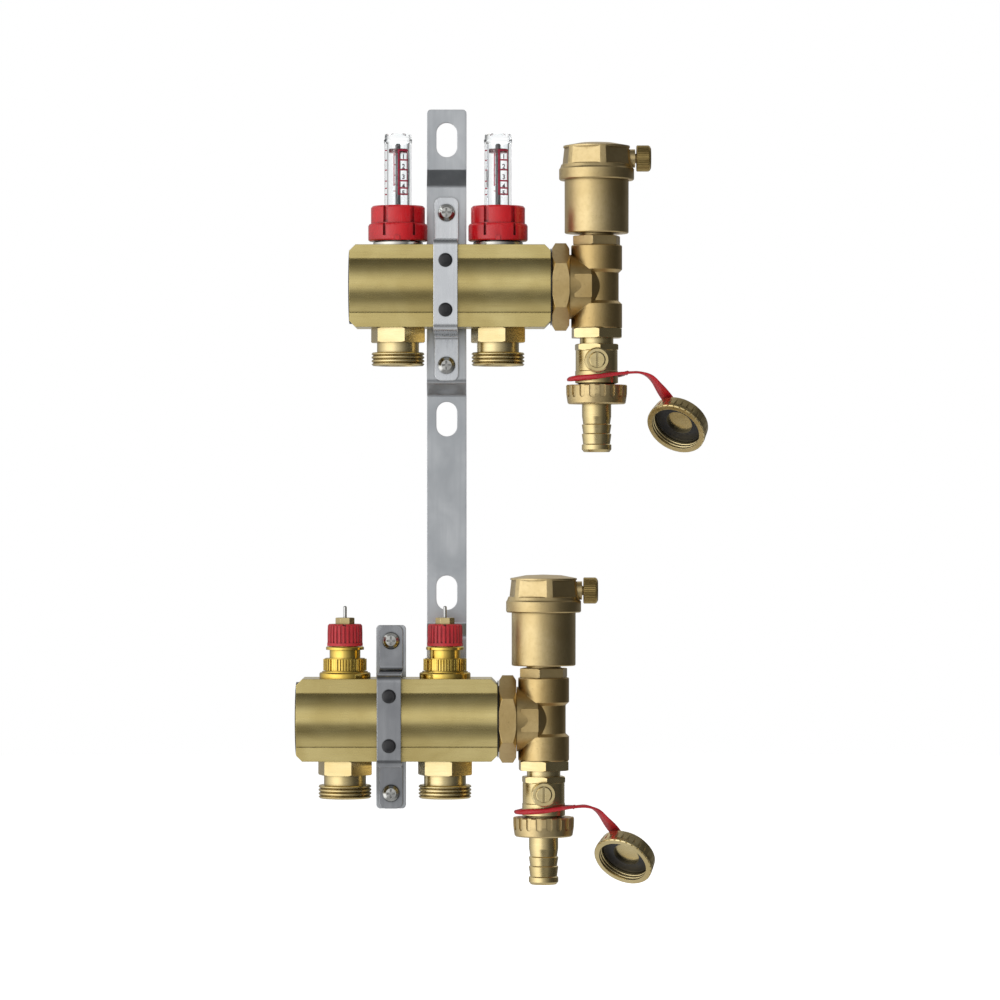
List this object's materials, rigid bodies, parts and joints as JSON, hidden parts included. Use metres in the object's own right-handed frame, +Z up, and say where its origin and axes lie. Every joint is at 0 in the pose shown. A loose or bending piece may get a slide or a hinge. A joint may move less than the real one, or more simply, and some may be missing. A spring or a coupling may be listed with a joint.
{
  "type": "underfloor heating manifold",
  "caption": "Wall-mounted brass heating manifold: supply bar with flow meters, return bar with valve inserts, vents and drain cocks on a steel strip.",
  "frame": {"origin": "on the back face of the mounting strip, on its centre line, halfway in height between the two bars", "axes": "+Z up, +X to the right seen from the room, +Y into the wall"},
  "size_m": [0.2057, 0.0566, 0.39],
  "materials": {
    "zinc_strip": "galvanised, satin",
    "zinc_plate": "galvanised, satin",
    "zinc_strap": "zinc plated, brushed",
    "zinc_hardware": "zinc plated, bright",
    "black_rubber": "moulded EPDM, matt",
    "extruded_brass": "extruded, satin with fine draw lines",
    "machined_brass": "machined, fine turning marks",
    "polished_brass": "turned, polished",
    "forged_brass": "hot forged, blasted",
    "blasted_brass": "blasted, matt",
    "knurled_brass": "knurled, slightly darkened",
    "nickel": "nickel plated, bright",
    "clear_plastic": "clear moulded plastic",
    "red_plastic": "moulded, semi-gloss",
    "red_preset": "moulded, satin",
    "red_strap": "moulded soft nylon, satin",
    "grey_plastic": "moulded, satin",
    "spring_steel": "drawn wire",
    "stainless_pin": "ground stainless",
    "float_plastic": "moulded polypropylene",
    "plated_ball": "chrome plated ball",
    "white_seat": "PTFE"
  },
  "bodies": {
    "frame": {"mounting_strip": "zinc_strip", "offset_plate": "zinc_plate", "offset_rivets": "zinc_hardware", "upper_clamp_strap": "zinc_strap", "lower_clamp_strap": "zinc_strap", "clamp_screws": "zinc_hardware", "clamp_nuts": "zinc_hardware", "clamp_plugs": "black_rubber", "rear_pads": "black_rubber", "supply_bar": "extruded_brass", "return_bar": "extruded_brass", "bar_seals": "black_rubber", "outlet_nipples": "machined_brass", "nipple_orings": "black_rubber", "flowmeter_seats": "nickel", "sight_tubes": "clear_plastic", "flowmeter_spring_1": "spring_steel", "flowmeter_spring_2": "spring_steel", "insert_bodies": "polished_brass", "gland_nuts": "polished_brass", "insert_spring_1": "spring_steel", "insert_spring_2": "spring_steel", "end_tees": "forged_brass", "vent_bodies": "blasted_brass", "vent_caps": "blasted_brass", "vent_orings": "black_rubber", "drain_bushings": "machined_brass", "drain_bodies": "machined_brass", "ball_seats": "white_seat", "hose_tails": "machined_brass", "hose_gaskets": "black_rubber"},
    "collar_1": {"regulating_collar_1": "red_plastic"},
    "indicator_1": {"indicator_rod_1": "grey_plastic"},
    "collar_2": {"regulating_collar_2": "red_plastic"},
    "indicator_2": {"indicator_rod_2": "grey_plastic"},
    "preset_1": {"preset_ring_1": "red_preset"},
    "spindle_1": {"valve_spindle_1": "stainless_pin"},
    "preset_2": {"preset_ring_2": "red_preset"},
    "spindle_2": {"valve_spindle_2": "stainless_pin"},
    "union_upper": {"union_nut_upper": "forged_brass"},
    "knob_upper": {"vent_knob_upper": "knurled_brass"},
    "float_upper": {"vent_float_upper": "float_plastic", "vent_needle_upper": "stainless_pin"},
    "drain_upper": {"drain_ball_upper": "plated_ball", "drain_stem_upper": "machined_brass"},
    "hose_union_upper": {"hose_nut_upper": "blasted_brass"},
    "cap_upper": {"closing_cap_upper": "machined_brass", "cap_seal_upper": "black_rubber", "tether_strap_upper": "red_strap"},
    "union_lower": {"union_nut_lower": "forged_brass"},
    "knob_lower": {"vent_knob_lower": "knurled_brass"},
    "float_lower": {"vent_float_lower": "float_plastic", "vent_needle_lower": "stainless_pin"},
    "drain_lower": {"drain_ball_lower": "plated_ball", "drain_stem_lower": "machined_brass"},
    "hose_union_lower": {"hose_nut_lower": "blasted_brass"},
    "cap_lower": {"closing_cap_lower": "machined_brass", "cap_seal_lower": "black_rubber", "tether_strap_lower": "red_strap"}
  },
  "joints": [
    {"name": "flow_regulation_1", "type": "hinge", "parent": "frame", "child": "collar_1", "pos_m": [-0.024, -0.0325, 0.1385], "axis": [0, 0, 1], "range_deg": [-360, 540]},
    {"name": "flow_indicator_1", "type": "slide", "parent": "frame", "child": "indicator_1", "axis": [0, 0, -1], "range_m": [0, 0.018], "stiffness_N_per_m": 25, "springref_m": -0.01, "deforming": ["flowmeter_spring_1"]},
    {"name": "flow_regulation_2", "type": "hinge", "parent": "frame", "child": "collar_2", "pos_m": [0.026, -0.0325, 0.1385], "axis": [0, 0, 1], "range_deg": [-360, 540]},
    {"name": "flow_indicator_2", "type": "slide", "parent": "frame", "child": "indicator_2", "axis": [0, 0, -1], "range_m": [0, 0.018], "stiffness_N_per_m": 25, "springref_m": -0.01, "deforming": ["flowmeter_spring_2"]},
    {"name": "preset_turn_1", "type": "hinge", "parent": "frame", "child": "preset_1", "pos_m": [-0.0505, -0.0325, -0.0675], "axis": [0, 0, 1], "range_deg": [-150, 150]},
    {"name": "spindle_press_1", "type": "slide", "parent": "frame", "child": "spindle_1", "axis": [0, 0, -1], "range_m": [0, 0.0025], "stiffness_N_per_m": 1500, "springref_m": -0.004, "deforming": ["insert_spring_1"]},
    {"name": "preset_turn_2", "type": "hinge", "parent": "frame", "child": "preset_2", "pos_m": [-0.0005, -0.0325, -0.0675], "axis": [0, 0, 1], "range_deg": [-150, 150]},
    {"name": "spindle_press_2", "type": "slide", "parent": "frame", "child": "spindle_2", "axis": [0, 0, -1], "range_m": [0, 0.0025], "stiffness_N_per_m": 1500, "springref_m": -0.004, "deforming": ["insert_spring_2"]},
    {"name": "union_swivel_upper", "type": "hinge", "parent": "frame", "child": "union_upper", "pos_m": [0.0573, -0.0325, 0.108], "axis": [1, 0, 0], "continuous": true},
    {"name": "vent_knob_turn_upper", "type": "hinge", "parent": "frame", "child": "knob_upper", "pos_m": [0.0989, -0.0325, 0.17225], "axis": [1, 0, 0], "range_deg": [0, 720]},
    {"name": "vent_float_rise_upper", "type": "slide", "parent": "frame", "child": "float_upper", "axis": [0, 0, 1], "range_m": [0, 0.005]},
    {"name": "drain_turn_upper", "type": "hinge", "parent": "frame", "child": "drain_upper", "pos_m": [0.0753, -0.0325, 0.07115], "axis": [0, -1, 0], "range_deg": [0, 90]},
    {"name": "hose_union_turn_upper", "type": "hinge", "parent": "frame", "child": "hose_union_upper", "pos_m": [0.0753, -0.0325, 0.0543], "axis": [0, 0, 1], "continuous": true},
    {"name": "cap_swing_upper", "type": "hinge", "parent": "frame", "child": "cap_upper", "pos_m": [0.0753, -0.0325, 0.06], "axis": [0, 0, 1], "range_deg": [-120, 25]},
    {"name": "union_swivel_lower", "type": "hinge", "parent": "frame", "child": "union_lower", "pos_m": [0.0308, -0.0325, -0.108], "axis": [1, 0, 0], "continuous": true},
    {"name": "vent_knob_turn_lower", "type": "hinge", "parent": "frame", "child": "knob_lower", "pos_m": [0.0724, -0.0325, -0.04375], "axis": [1, 0, 0], "range_deg": [0, 720]},
    {"name": "vent_float_rise_lower", "type": "slide", "parent": "frame", "child": "float_lower", "axis": [0, 0, 1], "range_m": [0, 0.005]},
    {"name": "drain_turn_lower", "type": "hinge", "parent": "frame", "child": "drain_lower", "pos_m": [0.0488, -0.0325, -0.14485], "axis": [0, -1, 0], "range_deg": [0, 90]},
    {"name": "hose_union_turn_lower", "type": "hinge", "parent": "frame", "child": "hose_union_lower", "pos_m": [0.0488, -0.0325, -0.1617], "axis": [0, 0, 1], "continuous": true},
    {"name": "cap_swing_lower", "type": "hinge", "parent": "frame", "child": "cap_lower", "pos_m": [0.0488, -0.0325, -0.156], "axis": [0, 0, 1], "range_deg": [-120, 25]}
  ]
}
